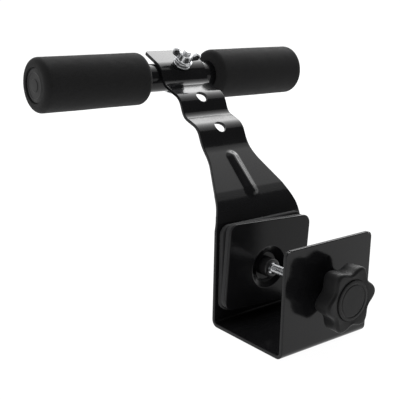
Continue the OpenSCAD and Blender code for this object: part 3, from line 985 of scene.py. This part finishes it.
def make_spring_washer():
    """One coil of square wire with its ends a little out of line at the slit."""
    base, top = bolt_span("spring_washer")
    thick, inner, outer = top - base, 4.1, 7.0
    gap, steps = 7, 90
    rings = []
    for k in range(steps + 1):
        angle = gap + (360 - 2 * gap) * k / steps
        lift = 0.22 * (k / steps - 0.5)
        z0, z1 = max(0, lift) + 0.02, thick - 0.02 + min(0, lift)
        wire = fillet([(inner, z0), (outer, z0), (outer, z1), (inner, z1)], [0.25] * 4, 3)
        rings.append([Vector((*polar(p.x, angle), p.y)) for p in wire])
    bm = bmesh.new()
    skin(bm, rings, close=False, cap_start=True, cap_end=True)
    bm.transform(Matrix.Rotation(math.pi / 2, 4, "Z"))
    piece(bm, "spring_washer_coil", "spring_washer", "washer", SHADED_DULL_ZINC, on_bolt(base), sharp=45)


def add_ear(bm, angle):
    """One flattened ear of the wing nut, with rounded rims, joined to the mesh."""
    outline = fillet([(3.9, 2.0), (6.6, 2.2), (12.6, 5.4), (13.5, 10.6), (9.0, 12.4), (6.2, 8.6), (4.2, 8.2)],
                     [0, 1, 2.6, 1.6, 1.6, 2, 0], 6)
    stations = [(0.9, -1.5), (0.35, -1.3), (0, -0.8), (0, 0.8), (0.35, 1.3), (0.9, 1.5)]
    ear = bmesh.new()
    skin(ear, plate_rings(outline, [(inset, None, z) for inset, z in stations]),
         close=False, cap_start=True, cap_end=True)
    ear.transform(Matrix.Rotation(math.radians(angle), 4, "Z") @ Matrix.Rotation(math.pi / 2, 4, "X"))
    mesh = bpy.data.meshes.new("ear")
    ear.to_mesh(mesh)
    ear.free()
    bm.from_mesh(mesh)
    bpy.data.meshes.remove(mesh)


def make_wing_nut():
    """A forged wing nut: a tapered hub and two ears, fused and softened as one casting."""
    base = bolt_span("wing_nut")[0]
    hub = fillet([(4.0, 0), (8.5, 0), (8.5, 1.4), (6.5, 1.7), (5.8, 9.0), (4.0, 9.0)],
                 [0.2, 0.4, 0.6, 1.0, 0.8, 0.2], 5)
    bm = bmesh.new()
    lathe(bm, hub, 72)
    for side in (0, 180):
        add_ear(bm, WING_ANGLE + side)
    obj = piece(bm, "wing_nut_forged", "wing_nut", "wing_nut", ZINC, on_bolt(base), sharp=180)
    modified(obj, ("REMESH", {"mode": "VOXEL", "voxel_size": 0.0003}),
             ("SMOOTH", {"factor": 0.5, "iterations": 5}))
    for face in obj.data.polygons:
        face.use_smooth = True


# ---------------------------------------------------------------- studio

CAMERA_TURN = (-38.614, 15.017, 1.118)
CAMERA_PLACE = (-436.5, -427.9, 267.2)
LENS, SENSOR = 71.97, 36
WORLD_EDGE, WORLD_LEVELS = (-0.36, -0.10), (0.14, 1.05)
CEILING_Z, CEILING_LEFT, CEILING_RIGHT = 1.1, 0.42, 2.6
CEILING_FRONT, CEILING_PEAK, CEILING_BACK = -0.47, 1.0, 1.5
CEILING_DIM, CEILING_BRIGHT = 1.2, 7.4
FLOOR_REACH, FLOOR_DROP = 40, 0.0003


def make_camera():
    azimuth, elevation, roll = (math.radians(angle) for angle in CAMERA_TURN)
    back = Vector((math.sin(azimuth) * math.cos(elevation), -math.cos(azimuth) * math.cos(elevation),
                   math.sin(elevation)))
    right = (-back).cross(UP).normalized()
    up = right.cross(-back)
    turned_right = right * math.cos(roll) + up * math.sin(roll)
    turned_up = up * math.cos(roll) - right * math.sin(roll)
    data = bpy.data.cameras.new("camera")
    data.sensor_width = SENSOR
    data.lens = LENS
    data.clip_start = 0.01
    data.clip_end = 20
    cam = bpy.data.objects.new("camera", data)
    basis = Matrix((turned_right, turned_up, back)).transposed().to_4x4()
    cam.matrix_world = Matrix.Translation(Vector(CAMERA_PLACE) * MM) @ basis
    bpy.context.scene.collection.objects.link(cam)
    bpy.context.scene.camera = cam


def make_world():
    """A pale studio: white behind the object, darker on the camera's side."""
    world = bpy.data.worlds.new("studio")
    bpy.context.scene.world = world
    world.use_nodes = True
    tree = world.node_tree
    coords = tree.nodes.new("ShaderNodeTexCoord")
    split = tree.nodes.new("ShaderNodeSeparateXYZ")
    tree.links.new(coords.outputs["Generated"], split.inputs["Vector"])
    level = spread(tree, split.outputs["Y"], *WORLD_EDGE, *WORLD_LEVELS, smooth=True)
    tree.links.new(level, tree.nodes["Background"].inputs["Strength"])
    tree.nodes["Background"].inputs["Color"].default_value = (1, 1, 1, 1)


def card(name, corners, height, material):
    """A flat stage card at a height, given by its lowest and highest X and Y in metres."""
    x0, y0, x1, y1 = corners
    mesh = bpy.data.meshes.new(name)
    mesh.from_pydata([(x0, y0, 0), (x1, y0, 0), (x1, y1, 0), (x0, y1, 0)], [], [(0, 1, 2, 3)])
    mesh.materials.append(material)
    obj = bpy.data.objects.new(name, mesh)
    obj.location.z = height
    bpy.context.scene.collection.objects.link(obj)


def make_ceiling():
    """A long soft light overhead to the right, brightest behind the object and dimmer near the camera."""
    mat = bpy.data.materials.new("ceiling_light")
    mat.use_nodes = True
    tree = mat.node_tree
    tree.nodes.clear()
    coords = tree.nodes.new("ShaderNodeTexCoord")
    split = tree.nodes.new("ShaderNodeSeparateXYZ")
    tree.links.new(coords.outputs["Object"], split.inputs["Vector"])
    level = spread(tree, split.outputs["Y"], CEILING_FRONT, CEILING_PEAK, CEILING_DIM, CEILING_BRIGHT,
                   smooth=True)
    glow = tree.nodes.new("ShaderNodeEmission")
    tree.links.new(level, glow.inputs["Strength"])
    out = tree.nodes.new("ShaderNodeOutputMaterial")
    tree.links.new(glow.outputs["Emission"], out.inputs["Surface"])
    card("ceiling_light", (CEILING_LEFT, CEILING_FRONT, CEILING_RIGHT, CEILING_BACK), CEILING_Z, mat)


def make_floor():
    """A pale floor that glows a little, so that it is as white as the wall behind it."""
    mat, _, bsdf, _ = shader("pale_floor")
    bsdf.inputs["Base Color"].default_value = (0.08, 0.08, 0.08, 1)
    bsdf.inputs["Roughness"].default_value = 0.9
    bsdf.inputs["Specular IOR Level"].default_value = 0.0
    bsdf.inputs["Emission Color"].default_value = (1, 1, 1, 1)
    bsdf.inputs["Emission Strength"].default_value = 0.98
    corners = (-FLOOR_REACH, -FLOOR_REACH, FLOOR_REACH, FLOOR_REACH)
    card("floor", corners, CAD_BOX[0].z - FLOOR_DROP, mat)


make_camera()
make_world()
make_ceiling()
make_floor()
bpy.context.scene.view_settings.view_transform = "Standard"

make_bracket()
make_clamp_nut()
make_jaw_pad()
make_clamp_plate()
make_plate_pad()
make_cup()
make_ring()
make_screw()
make_knob()
make_cover()
make_tube()
make_foam(-1, "left_foam")
make_foam(1, "right_foam")
make_end_cap(-1, "left_end_cap")
make_end_cap(1, "right_end_cap")
make_bolt()
make_washer()
make_spring_washer()
make_wing_nut()

bpy.context.view_layer.update()
